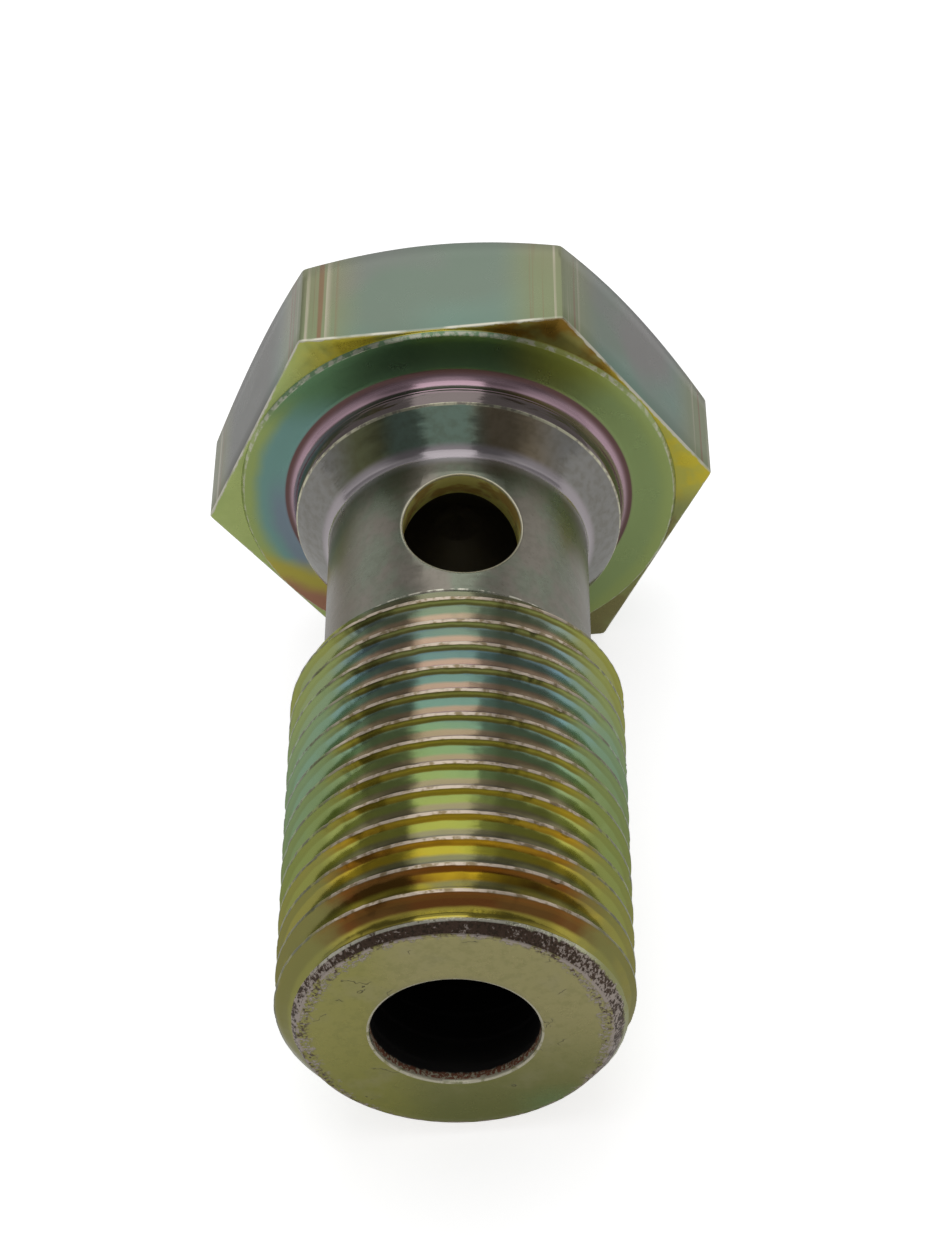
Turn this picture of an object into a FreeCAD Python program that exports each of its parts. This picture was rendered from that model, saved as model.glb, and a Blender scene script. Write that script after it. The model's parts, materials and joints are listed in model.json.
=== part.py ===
import FreeCAD
import Part
import math
import os

# A banjo bolt: a hollow hexagon bolt that carries a fluid through a drilled core and out of its neck.
# Lengths are in millimetres and angles in degrees. The bolt is turned up along its own axis, with the
# washer face at height 0 and the thread end up, and is then laid down the way it comes to rest.

# Thread, left as the smooth blank that it is rolled on
THREAD_DIAMETER = 15.8
THREAD_LENGTH = 20.4
LEAD_IN_ANGLE = 42.0
END_CHAMFER_DEPTH = 1.02
END_CHAMFER_LENGTH = 1.2

# Neck between collar and thread, which leaves a ring of room round it inside the banjo fitting
NECK_LENGTH = 12.7
NECK_DEPTH_BELOW_THREAD = 1.46
NECK_FILLET = 0.8

# Collar that centres the sealing washer and the fitting
COLLAR_STEP_OVER_THREAD = 0.25
COLLAR_HEIGHT = 1.8
COLLAR_CONE_ANGLE = 45.0
COLLAR_FILLET = 0.8

# Head, from hexagon bar
HEX_ACROSS_FLATS = 22.2
HEX_EDGE_RADIUS = 0.2
HEAD_HEIGHT = 7.0
HEAD_CHAMFER_ANGLE = 30.0
HEAD_CHAMFER_INSET = 0.55
WASHER_FACE_INSET = 0.2
WASHER_FACE_HEIGHT = 0.25
WASHER_FACE_DRAFT = 0.12
WASHER_FACE_EDGE_RADIUS = 0.08

# Drillings
BORE_DIAMETER = 7.4
BORE_RIM_CHAMFER = 0.12
BORE_OVERRUN = 1.2
DRILL_POINT_ANGLE = 118.0
CROSS_HOLE_DIAMETER = 5.63
CROSS_HOLE_SLANT = 30.0
CROSS_HOLE_TURN = 8.9

# A cutter starts this far outside the surface that it enters
CUTTER_CLEARANCE = 2.0


def tangent(degrees):
    return math.tan(math.radians(degrees))


def sine(degrees):
    return math.sin(math.radians(degrees))


def cosine(degrees):
    return math.cos(math.radians(degrees))


# Radii and heights that follow from the sizes above
THREAD_RADIUS = THREAD_DIAMETER / 2
END_FACE_RADIUS = THREAD_RADIUS - END_CHAMFER_DEPTH
NECK_RADIUS = THREAD_RADIUS - NECK_DEPTH_BELOW_THREAD
COLLAR_RADIUS = THREAD_RADIUS + COLLAR_STEP_OVER_THREAD
WASHER_FACE_RADIUS = HEX_ACROSS_FLATS / 2 - WASHER_FACE_INSET
HEX_CORNER_RADIUS = HEX_ACROSS_FLATS / math.sqrt(3)
BORE_RADIUS = BORE_DIAMETER / 2

COLLAR_CONE_TOP = COLLAR_HEIGHT + (COLLAR_RADIUS - NECK_RADIUS) / tangent(COLLAR_CONE_ANGLE)
NECK_STRAIGHT_START = COLLAR_CONE_TOP + NECK_FILLET * tangent(COLLAR_CONE_ANGLE / 2)
LEAD_IN_TOP = NECK_LENGTH + NECK_DEPTH_BELOW_THREAD / tangent(LEAD_IN_ANGLE)
END_HEIGHT = NECK_LENGTH + THREAD_LENGTH
END_CHAMFER_START = END_HEIGHT - END_CHAMFER_LENGTH

# The cross hole leaves the neck half way along its straight stretch, and slopes down to the bolt's axis
CROSS_HOLE_HEIGHT = (NECK_STRAIGHT_START + NECK_LENGTH) / 2
CROSS_HOLE_MEETING = CROSS_HOLE_HEIGHT - NECK_RADIUS * tangent(CROSS_HOLE_SLANT)
BORE_END = CROSS_HOLE_MEETING - BORE_OVERRUN


def rounded_outline(corners):
    """A closed face in the XZ plane from corners given as radius, height and corner rounding."""
    edges = []
    points = [FreeCAD.Vector(radius, 0, height) for radius, height, _ in corners]
    count = len(points)
    starts = []
    ends = []
    middles = []
    for index, point in enumerate(points):
        rounding = corners[index][2]
        to_previous = (points[index - 1] - point).normalize()
        to_next = (points[(index + 1) % count] - point).normalize()
        if rounding == 0:
            starts.append(point)
            ends.append(point)
            middles.append(None)
            continue
        half_angle = to_previous.getAngle(to_next) / 2
        reach = rounding / math.tan(half_angle)
        bisector = (to_previous + to_next).normalize()
        centre = point + bisector * (rounding / math.sin(half_angle))
        starts.append(point + to_previous * reach)
        ends.append(point + to_next * reach)
        middles.append(centre - bisector * rounding)
    for index in range(count):
        following = (index + 1) % count
        if middles[index] is not None:
            edges.append(Part.Arc(starts[index], middles[index], ends[index]).toShape())
        edges.append(Part.LineSegment(ends[index], starts[following]).toShape())
    return Part.Face(Part.Wire(edges))


def turned(corners):
    """A solid turned about the bolt's axis from an outline."""
    axis_point = FreeCAD.Vector(0, 0, 0)
    axis_direction = FreeCAD.Vector(0, 0, 1)
    return rounded_outline(corners).revolve(axis_point, axis_direction, 360)


def shank():
    """Washer face, collar, cone, neck and thread blank, in one turning."""
    washer_face_width = WASHER_FACE_RADIUS - COLLAR_RADIUS
    collar_fillet = min(COLLAR_FILLET, COLLAR_HEIGHT / 2, washer_face_width / 2)
    washer_base_radius = WASHER_FACE_RADIUS + WASHER_FACE_DRAFT
    return turned([
        (0, -WASHER_FACE_HEIGHT, 0),
        (washer_base_radius, -WASHER_FACE_HEIGHT, 0),
        (WASHER_FACE_RADIUS, 0, WASHER_FACE_EDGE_RADIUS),
        (COLLAR_RADIUS, 0, collar_fillet),
        (COLLAR_RADIUS, COLLAR_HEIGHT, 0),
        (NECK_RADIUS, COLLAR_CONE_TOP, NECK_FILLET),
        (NECK_RADIUS, NECK_LENGTH, 0),
        (THREAD_RADIUS, LEAD_IN_TOP, 0),
        (THREAD_RADIUS, END_CHAMFER_START, 0),
        (END_FACE_RADIUS, END_HEIGHT, 0),
        (0, END_HEIGHT, 0),
    ])


def head():
    """Hexagon bar, chamfered on its far face, with two of its flats square to the Y axis."""
    corners = []
    for corner in range(7):
        angle = 60 * corner
        corners.append(FreeCAD.Vector(
            HEX_CORNER_RADIUS * cosine(angle), HEX_CORNER_RADIUS * sine(angle), -HEAD_HEIGHT))
    bar_height = HEAD_HEIGHT - WASHER_FACE_HEIGHT
    bar = Part.Face(Part.makePolygon(corners)).extrude(FreeCAD.Vector(0, 0, bar_height))
    upright_edges = [edge for edge in bar.Edges if abs(edge.Length - bar_height) < 1e-6
                     and abs(edge.tangentAt(edge.FirstParameter).z) > 0.99]
    bar = bar.makeFillet(HEX_EDGE_RADIUS, upright_edges)

    far_face_radius = HEX_ACROSS_FLATS / 2 - HEAD_CHAMFER_INSET
    outer_radius = HEX_CORNER_RADIUS + CUTTER_CLEARANCE
    cone_rise = (outer_radius - far_face_radius) * tangent(HEAD_CHAMFER_ANGLE)
    chamfer_form = turned([
        (0, -HEAD_HEIGHT, 0),
        (far_face_radius, -HEAD_HEIGHT, 0),
        (outer_radius, cone_rise - HEAD_HEIGHT, 0),
        (outer_radius, cone_rise, 0),
        (0, cone_rise, 0),
    ])
    return bar.common(chamfer_form)


def bore_cutter():
    """The blind axial bore, with its drill point and the broken edge of its mouth."""
    point_length = BORE_RADIUS / tangent(DRILL_POINT_ANGLE / 2)
    mouth_radius = BORE_RADIUS + BORE_RIM_CHAMFER
    return turned([
        (0, BORE_END - point_length, 0),
        (BORE_RADIUS, BORE_END, 0),
        (BORE_RADIUS, END_HEIGHT - BORE_RIM_CHAMFER, 0),
        (mouth_radius, END_HEIGHT, 0),
        (mouth_radius, END_HEIGHT + CUTTER_CLEARANCE, 0),
        (0, END_HEIGHT + CUTTER_CLEARANCE, 0),
    ])


def cross_hole_cutter():
    """The oblique hole from the neck down into the bore, leaning towards the thread end."""
    length = NECK_RADIUS / cosine(CROSS_HOLE_SLANT) + CUTTER_CLEARANCE
    inner_end = FreeCAD.Vector(0, 0, CROSS_HOLE_MEETING)
    direction = FreeCAD.Vector(0, cosine(CROSS_HOLE_SLANT), sine(CROSS_HOLE_SLANT))
    cutter = Part.makeCylinder(CROSS_HOLE_DIAMETER / 2, length, inner_end, direction)
    cutter.rotate(FreeCAD.Vector(0, 0, 0), FreeCAD.Vector(0, 0, 1), -CROSS_HOLE_TURN)
    return cutter


def rest_tilt():
    """How far the axis slopes down to the thread end, lying on a hexagon edge and the end's rim."""
    drop = HEX_ACROSS_FLATS / 2 - THREAD_RADIUS
    run = END_CHAMFER_START + WASHER_FACE_HEIGHT
    return math.degrees(math.atan2(drop, run))


def laid_down(shape):
    """The bolt lying on its side, thread end towards -Y, with its box centred over the origin."""
    lying = shape.copy()
    lying.rotate(FreeCAD.Vector(0, 0, 0), FreeCAD.Vector(1, 0, 0), 90 + rest_tilt())
    box = lying.optimalBoundingBox(False, False)
    lying.translate(FreeCAD.Vector(-box.Center.x, -box.Center.y, -box.ZMin))
    return lying


def main():
    bolt = head().fuse(shank()).removeSplitter()
    bolt = bolt.cut(bore_cutter()).cut(cross_hole_cutter())
    bolt = laid_down(bolt)
    os.makedirs("parts", exist_ok=True)
    bolt.Solids[0].exportStep("parts/banjo_bolt.step")
    print("banjo_bolt: solids", len(bolt.Solids), "valid", bolt.isValid(), "volume", round(bolt.Volume, 1))
    print("box", bolt.optimalBoundingBox(False, False), "tilt", round(rest_tilt(), 2))


main()
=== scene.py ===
import json
from math import atan2, ceil, cos, degrees, floor, pi, radians, sin, sqrt, tan
import bpy
import bmesh
from mathutils import Matrix, Vector


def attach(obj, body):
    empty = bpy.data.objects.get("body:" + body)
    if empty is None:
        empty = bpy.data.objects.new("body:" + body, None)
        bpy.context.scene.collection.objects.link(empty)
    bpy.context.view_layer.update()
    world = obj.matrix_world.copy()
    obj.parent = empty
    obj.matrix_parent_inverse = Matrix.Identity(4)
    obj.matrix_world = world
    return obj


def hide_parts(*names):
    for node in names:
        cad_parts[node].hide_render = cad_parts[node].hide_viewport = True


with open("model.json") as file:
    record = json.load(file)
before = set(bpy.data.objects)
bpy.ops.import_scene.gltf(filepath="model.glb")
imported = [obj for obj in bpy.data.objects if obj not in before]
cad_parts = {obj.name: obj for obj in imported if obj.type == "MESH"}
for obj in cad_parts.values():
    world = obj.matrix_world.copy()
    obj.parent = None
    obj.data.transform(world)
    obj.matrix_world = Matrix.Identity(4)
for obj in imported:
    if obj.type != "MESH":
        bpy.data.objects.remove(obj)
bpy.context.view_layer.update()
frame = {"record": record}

# A hollow bolt in yellow passivated zinc. It is turned up along +Z in millimetres, with the washer
# face at height 0 and the thread end up, and is laid down on its side once it is finished.

scene = bpy.context.scene
scene.view_settings.view_transform = "Standard"


def mountNamed(name):
    return next(mount for mount in frame["record"]["mounts"] if mount["name"] == name)


def layingDown():
    # the bolt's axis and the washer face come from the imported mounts
    axis = Vector(mountNamed("thread")["axis"]).normalized()
    onAxis = Vector(mountNamed("thread")["pos_m"])
    onWasherFace = Vector(mountNamed("washer_face")["pos_m"])
    start = onAxis + axis * (onWasherFace - onAxis).dot(axis)
    across = Vector((1, 0, 0))
    upright = axis.cross(across)
    turn = Matrix((across, upright, axis)).transposed().to_4x4()
    return Matrix.Translation(start) @ turn @ Matrix.Scale(0.001, 4)


layDown = layingDown()

boltSizes = {
    "acrossFlats": 22.2, "headHeight": 7.0, "farFaceRadius": 10.55, "headChamferAngle": 30.0,
    "hexEdgeRadius": 0.2, "washerRadius": 10.9, "washerHeight": 0.25, "washerDraft": 0.12,
    "collarRadius": 8.15, "collarHeight": 1.8, "collarFillet": 0.8, "coneAngle": 45.0,
    "neckRadius": 6.44, "neckFillet": 0.8, "neckEnd": 12.7,
    "threadRadius": 7.9, "leadInAngle": 42.0,
    "endChamferStart": 31.9, "endRadius": 6.88, "endHeight": 33.1, "endEdge": 0.05,
    "boreRadius": 3.7, "boreMouth": 0.12, "boreEnd": 3.353, "drillPointAngle": 118.0,
    "columns": 264, "crowding": 0.5, "sharpAngle": 38.0,
    "boreRows": (31.5, 28.0, 23.0, 18.0, 13.0, 9.0, 6.0),
}

threadSizes = {
    "pitch": 1.411, "crestHeight": 14.615, "crestTurn": 7.07 - 90.0,
    "crestHalfWidth": 0.088, "rootRadius": 7.03, "rootRounding": 0.2, "rowsPerTurn": 16,
    "nickDepth": 0.045, "crestWander": 0.07, "endRoughness": 0.09, "seed": 4.0,
}

crossHoleSizes = {
    "radius": 2.815, "slant": 30.0, "turn": 8.9, "meeting": 4.55, "rimRounding": 0.16, "sides": 96,
    "flareAngle": 22.0, "flareLength": 1.4, "lidAboveNeck": 4.0,
}


def crestAtZero():
    # height of a crest where it crosses the bolt's X axis
    return threadSizes["crestHeight"] + threadSizes["pitch"] * threadSizes["crestTurn"] / 360


def columnAngles():
    # columns stand closer together at the hexagon's corners than along its flats
    angles = []
    perSide = boltSizes["columns"] // 6
    for column in range(boltSizes["columns"]):
        side, step = divmod(column, perSide)
        share = step / perSide
        share -= boltSizes["crowding"] * sin(2 * pi * share) / (2 * pi)
        angles.append(radians(60 * (side + share)))
    return angles


def hexRadius(angle):
    apothem = boltSizes["acrossFlats"] / 2
    rounding = boltSizes["hexEdgeRadius"]
    fromCorner = (angle + pi / 6) % (pi / 3) - pi / 6
    roundCentre = (apothem - rounding) / cos(pi / 6)
    roundEnd = atan2(rounding / 2, roundCentre + rounding * cos(pi / 6))
    if abs(fromCorner) < roundEnd:
        sideways = roundCentre * sin(fromCorner)
        return roundCentre * cos(fromCorner) + sqrt(rounding ** 2 - sideways ** 2)
    return apothem / cos(pi / 6 - abs(fromCorner))


def endChamferFall():
    length = boltSizes["endHeight"] - boltSizes["endChamferStart"]
    return (boltSizes["threadRadius"] - boltSizes["endRadius"]) / length


def blankRadius(height):
    leadInSlope = tan(radians(boltSizes["leadInAngle"]))
    leadIn = boltSizes["neckRadius"] + (height - boltSizes["neckEnd"]) * leadInSlope
    endChamfer = boltSizes["threadRadius"] - (height - boltSizes["endChamferStart"]) * endChamferFall()
    return min(boltSizes["threadRadius"], leadIn, endChamfer)


def crestPlace(height, angle):
    # distance along the bolt from the nearest crest
    lead = height - threadSizes["crestHeight"]
    turns = lead / threadSizes["pitch"] - (degrees(angle) + threadSizes["crestTurn"]) / 360
    return ((turns + 0.5) % 1.0 - 0.5) * threadSizes["pitch"]


def grooveRadius(height, angle):
    along = abs(crestPlace(height, angle))
    flank = boltSizes["threadRadius"] - max(0.0, along - threadSizes["crestHalfWidth"]) * sqrt(3)
    rounding = threadSizes["rootRounding"]
    fromRoot = min(threadSizes["pitch"] / 2 - along, rounding * sqrt(3) / 2)
    root = threadSizes["rootRadius"] + rounding - sqrt(rounding ** 2 - fromRoot ** 2)
    return max(flank, root)


def arcRows(centreRadius, centreHeight, radius, fromAngle, toAngle, steps):
    rows = []
    for step in range(steps + 1):
        angle = radians(fromAngle + (toAngle - fromAngle) * step / steps)
        rows.append((centreRadius + radius * cos(angle), centreHeight + radius * sin(angle)))
    return rows


def headRows(angles):
    # from the middle of the far face, over the flats, to the foot of the washer face
    rows = []
    faceHeight = -boltSizes["headHeight"]
    slope = tan(radians(boltSizes["headChamferAngle"]))
    faceRadius = boltSizes["farFaceRadius"]
    for radius, lift in ((4.0, 0), (7.5, 0), (faceRadius - 0.12, 0), (faceRadius, 0.02)):
        rows.append([(radius, faceHeight + lift)] * len(angles))
    outline = [hexRadius(angle) for angle in angles]
    cone = [faceHeight + (radius - faceRadius) * slope for radius in outline]
    for share in (0.35, 0.7):
        steps = [(o - faceRadius) * share for o in outline]
        rows.append([(faceRadius + step, faceHeight + step * slope) for step in steps])
    rows.append([(o - 0.06, c - 0.06 * slope) for o, c in zip(outline, cone)])
    rows.append([(o, c + 0.07) for o, c in zip(outline, cone)])
    under = -boltSizes["washerHeight"]
    for share in (0.2, 0.4, 0.6, 0.8):
        rows.append([(o, c + (under - c) * share) for o, c in zip(outline, cone)])
    for inset, drop in ((0.0, 0.07), (0.02, 0.02), (0.06, 0.0)):
        rows.append([(o - inset, under - drop) for o in outline])
    foot = boltSizes["washerRadius"] + boltSizes["washerDraft"]
    rows.append([(foot + (o - 0.06 - foot) * 0.4, under) for o in outline])
    rows.append([(foot, under)] * len(angles))
    return rows


def shankRows(angles):
    # washer face, collar, cone and neck
    washer = boltSizes["washerRadius"]
    collar = boltSizes["collarRadius"]
    neck = boltSizes["neckRadius"]
    fillet = boltSizes["collarFillet"]
    profile = [(washer + 0.02, -0.06), (washer - 0.02, -0.012), (washer - 0.08, 0.0)]
    for share in (0.25, 0.5, 0.75):
        profile.append((washer - 0.08 + (collar + fillet - washer + 0.08) * share, 0.0))
    profile += arcRows(collar + fillet, fillet, fillet, 270, 180, 8)
    top = boltSizes["collarHeight"]
    profile += [(collar, top - 0.5), (collar, top - 0.09)]
    profile += [(collar - 0.015, top - 0.02), (collar - 0.07, top + 0.06)]
    coneTop = top + collar - neck
    reach = boltSizes["neckFillet"] * tan(radians(boltSizes["coneAngle"] / 2))
    for share in (0.3, 0.65):
        profile.append((collar + (neck - collar) * share, top + (coneTop - top) * share))
    profile += arcRows(neck + boltSizes["neckFillet"], coneTop + reach, boltSizes["neckFillet"], 225, 180, 6)
    start = coneTop + reach
    for share in (0.1, 0.2, 0.3, 0.4, 0.5, 0.6, 0.7, 0.8, 0.9, 0.97):
        profile.append((neck, start + (boltSizes["neckEnd"] - start) * share))
    return [[place] * len(angles) for place in profile]


def threadColumn(angle, firstRow, lastRow, low, high):
    # heights of one column of the thread, whose rows follow the turns
    pitch = threadSizes["pitch"]
    start = threadSizes["crestHeight"] + pitch * (degrees(angle) + threadSizes["crestTurn"]) / 360
    heights = []
    for row in range(firstRow, lastRow + 1):
        heights.append(min(high, max(low, start + pitch * row / threadSizes["rowsPerTurn"])))
    # the nearest point moves onto each edge that the cone or the chamfer makes with the turns
    gaps = [grooveRadius(height, angle) - blankRadius(height) for height in heights]
    for row in range(1, len(heights)):
        before, after = gaps[row - 1], gaps[row]
        if before * after < 0 and heights[row] > heights[row - 1]:
            share = before / (before - after)
            crossing = heights[row - 1] + (heights[row] - heights[row - 1]) * share
            if share < 0.5 and heights[row - 1] > low:
                heights[row - 1] = crossing
            elif share >= 0.5 and heights[row] < high:
                heights[row] = crossing
    return heights


def endRows(angles):
    # end face, mouth of the bore, bore and drill point
    end = boltSizes["endHeight"]
    outer = boltSizes["endRadius"]
    bore = boltSizes["boreRadius"]
    mouth = boltSizes["boreMouth"]
    profile = [(outer + 0.005, end - 0.015), (outer - 0.05, end)]
    for share in (0.12, 0.28, 0.44, 0.6, 0.76, 0.9):
        profile.append((outer - 0.05 + (bore + mouth + 0.05 - outer) * share, end))
    profile += [(bore + mouth + 0.02, end), (bore + mouth * 0.4, end - mouth * 0.35)]
    profile.append((bore, end - mouth * 1.2))
    for height in (*boltSizes["boreRows"], boltSizes["boreEnd"]):
        profile.append((bore, height))
    point = bore / tan(radians(boltSizes["drillPointAngle"] / 2))
    profile.append((bore / 2, boltSizes["boreEnd"] - point / 2))
    return [[place] * len(angles) for place in profile]


def blankMesh():
    angles = columnAngles()
    count = len(angles)
    pitch = threadSizes["pitch"]
    perTurn = threadSizes["rowsPerTurn"]
    low = boltSizes["neckEnd"]
    high = boltSizes["endHeight"] - boltSizes["endEdge"]
    firstRow = floor((low - crestAtZero() - pitch) / pitch * perTurn) - 1
    lastRow = ceil((high - crestAtZero()) / pitch * perTurn) + 1
    threadHeights = [threadColumn(angle, firstRow, lastRow, low, high) for angle in angles]
    lower = headRows(angles) + shankRows(angles)
    upper = endRows(angles)
    bm = bmesh.new()
    columns = []
    for index, angle in enumerate(angles):
        places = [row[index] for row in lower]
        places += [(blankRadius(height), height) for height in threadHeights[index]]
        places += [row[index] for row in upper]
        columns.append([
            bm.verts.new((radius * cos(angle), radius * sin(angle), height)) for radius, height in places])
    rowCount = len(columns[0])
    threadStart = len(lower)
    threadEnd = threadStart + len(threadHeights[0]) - 1
    for index in range(count):
        here = columns[index]
        there = columns[(index + 1) % count]
        lastSeam = index == count - 1

        def across(row):
            # at the seam a row of the thread meets the row one turn higher
            if lastSeam and threadStart <= row <= threadEnd:
                return there[min(row + perTurn, threadEnd)]
            return there[row]

        for row in range(rowCount - 1):
            corners = [here[row], across(row), across(row + 1), here[row + 1]]
            if len(set(corners)) == 4:
                bm.faces.new(corners)
            elif len(set(corners)) == 3:
                bm.faces.new(list(dict.fromkeys(corners)))
    farPole = bm.verts.new((0, 0, -boltSizes["headHeight"]))
    point = boltSizes["boreRadius"] / tan(radians(boltSizes["drillPointAngle"] / 2))
    drillPole = bm.verts.new((0, 0, boltSizes["boreEnd"] - point))
    for index in range(count):
        following = (index + 1) % count
        bm.faces.new((farPole, columns[following][0], columns[index][0]))
        bm.faces.new((drillPole, columns[index][-1], columns[following][-1]))
    bmesh.ops.remove_doubles(bm, verts=bm.verts, dist=0.0005)
    bmesh.ops.dissolve_degenerate(bm, edges=bm.edges, dist=0.0002)
    bmesh.ops.recalc_face_normals(bm, faces=bm.faces)
    openEdges = sum(1 for edge in bm.edges if len(edge.link_faces) != 2)
    print("blank: faces", len(bm.faces), "open edges", openEdges)
    mesh = bpy.data.meshes.new("boltBlank")
    bm.to_mesh(mesh)
    bm.free()
    return mesh


def crossHoleMesh():
    # the cutter's rings keep to the round neck, so that the rim of the hole is rounded evenly
    neck = boltSizes["neckRadius"]
    turn = Matrix.Rotation(radians(-crossHoleSizes["turn"]), 3, "Z")
    slant = radians(crossHoleSizes["slant"])
    axis = Vector((0, cos(slant), sin(slant)))
    side = Vector((1, 0, 0))
    up = side.cross(axis)
    start = Vector((0, 0, crossHoleSizes["meeting"]))
    rounding = crossHoleSizes["rimRounding"]
    hole = crossHoleSizes["radius"]
    rings = []
    for angle in (crossHoleSizes["flareAngle"], 45, 68, 90):
        lean = radians(angle)
        rings.append((hole + rounding - rounding * sin(lean), rounding - rounding * cos(lean)))
    outward = radians(crossHoleSizes["flareAngle"])
    flare = crossHoleSizes["flareLength"]
    firstRadius, firstDepth = rings[0]
    rings.insert(0, (firstRadius + flare * cos(outward), firstDepth - flare * sin(outward)))
    bm = bmesh.new()
    sides = crossHoleSizes["sides"]
    loops = []
    # a flat lid well outside the neck, the rim's rings, and a flat end on the bolt's axis
    flatEnds = {0: neck / cos(slant) + crossHoleSizes["lidAboveNeck"], len(rings) + 1: 0.0}
    for index, (radius, depth) in enumerate([(rings[0][0], 0.0)] + rings + [(hole, 0.0)]):
        loop = []
        for step in range(sides):
            around = 2 * pi * step / sides
            offset = side * radius * cos(around) + up * radius * sin(around)
            if index in flatEnds:
                along = flatEnds[index]
            else:
                # where a line along the drilling at this offset meets the neck
                a = axis.x ** 2 + axis.y ** 2
                b = 2 * (offset.x * axis.x + offset.y * axis.y)
                c = offset.x ** 2 + offset.y ** 2 - neck ** 2
                along = (-b + sqrt(b * b - 4 * a * c)) / (2 * a) - depth
            loop.append(bm.verts.new(turn @ (start + offset + axis * along)))
        loops.append(loop)
    for outer, inner in zip(loops, loops[1:]):
        for step in range(sides):
            following = (step + 1) % sides
            bm.faces.new((outer[step], outer[following], inner[following], inner[step]))
    for loop in (loops[0], loops[-1]):
        middle = bm.verts.new(sum((vert.co for vert in loop), Vector()) / sides)
        for step in range(sides):
            bm.faces.new((middle, loop[step], loop[(step + 1) % sides]))
    bmesh.ops.recalc_face_normals(bm, faces=bm.faces)
    mesh = bpy.data.meshes.new("crossHoleCutter")
    bm.to_mesh(mesh)
    bm.free()
    return mesh


class TreeBuilder:
    # places nodes and links them, with numbers given straight to the sockets

    def __init__(self, tree):
        self.tree = tree

    def put(self, socket, value):
        if isinstance(value, bpy.types.NodeSocket):
            self.tree.links.new(value, socket)
        else:
            socket.default_value = value

    def node(self, kind, inputs=(), **settings):
        made = self.tree.nodes.new(kind)
        for name, value in settings.items():
            setattr(made, name, value)
        for key, value in dict(inputs).items():
            self.put(made.inputs[key], value)
        return made

    def math(self, operation, *values):
        return self.node("ShaderNodeMath", dict(enumerate(values)), operation=operation).outputs[0]

    def plus(self, first, second):
        return self.math("ADD", first, second)

    def minus(self, first, second):
        return self.math("SUBTRACT", first, second)

    def times(self, first, second):
        return self.math("MULTIPLY", first, second)

    def over(self, first, second):
        return self.math("DIVIDE", first, second)

    def larger(self, first, second):
        return self.math("MAXIMUM", first, second)

    def absolute(self, value):
        return self.math("ABSOLUTE", value)

    def more(self, value, mask, amount):
        return self.plus(value, self.times(mask, amount))

    def less(self, value, mask, amount):
        return self.minus(value, self.times(mask, amount))

    def swayed(self, value, noise, amount):
        # a noise is about 0.5 on the average, so that the value moves both ways
        return self.more(value, self.minus(noise, 0.5), amount)

    def spread(self, value, fromLow, fromHigh, toLow=0.0, toHigh=1.0, smooth=True):
        made = self.node("ShaderNodeMapRange", {0: value, 1: fromLow, 2: fromHigh, 3: toLow, 4: toHigh})
        made.interpolation_type = "SMOOTHSTEP" if smooth else "LINEAR"
        return made.outputs[0]

    def parted(self, vector):
        return self.node("ShaderNodeSeparateXYZ", {0: vector}).outputs

    def joined(self, x, y, z=0.0):
        return self.node("ShaderNodeCombineXYZ", {0: x, 1: y, 2: z}).outputs[0]

    def fromAxis(self, parts):
        squares = self.plus(self.times(parts[0], parts[0]), self.times(parts[1], parts[1]))
        return self.math("SQRT", squares)

    def crestOffset(self, parts, crestHeight, pitch, wander=None):
        # share of a turn from the nearest crest: 0 on it, and more than 0 towards the thread end
        angle = self.over(self.math("ARCTAN2", parts[1], parts[0]), 2 * pi)
        lead = self.minus(parts[2], crestHeight)
        if wander:
            lead = self.swayed(lead, *wander)
        turns = self.minus(self.over(lead, pitch), angle)
        return self.minus(self.math("FRACT", self.plus(turns, 0.5)), 0.5)

    def placed(self, tree, inputs):
        return self.node("ShaderNodeGroup", inputs, node_tree=tree).outputs

    def noise(self, vector, scale, detail, roughness, **settings):
        inputs = {"Vector": vector, "Scale": scale, "Detail": detail, "Roughness": roughness}
        return self.node("ShaderNodeTexNoise", inputs, **settings)

    def mapped(self, vector, inputs, kind="POINT"):
        return self.node("ShaderNodeMapping", {"Vector": vector, **inputs}, vector_type=kind).outputs[0]

    def vector(self, operation, inputs):
        return self.node("ShaderNodeVectorMath", inputs, operation=operation).outputs

    def either(self, share, first, second):
        inputs = {0: share, 1: first.outputs[0], 2: second.outputs[0]}
        return self.node("ShaderNodeMixShader", inputs)


def emptyTree(owner):
    owner.use_nodes = True
    owner.node_tree.nodes.clear()
    return owner.node_tree


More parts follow.
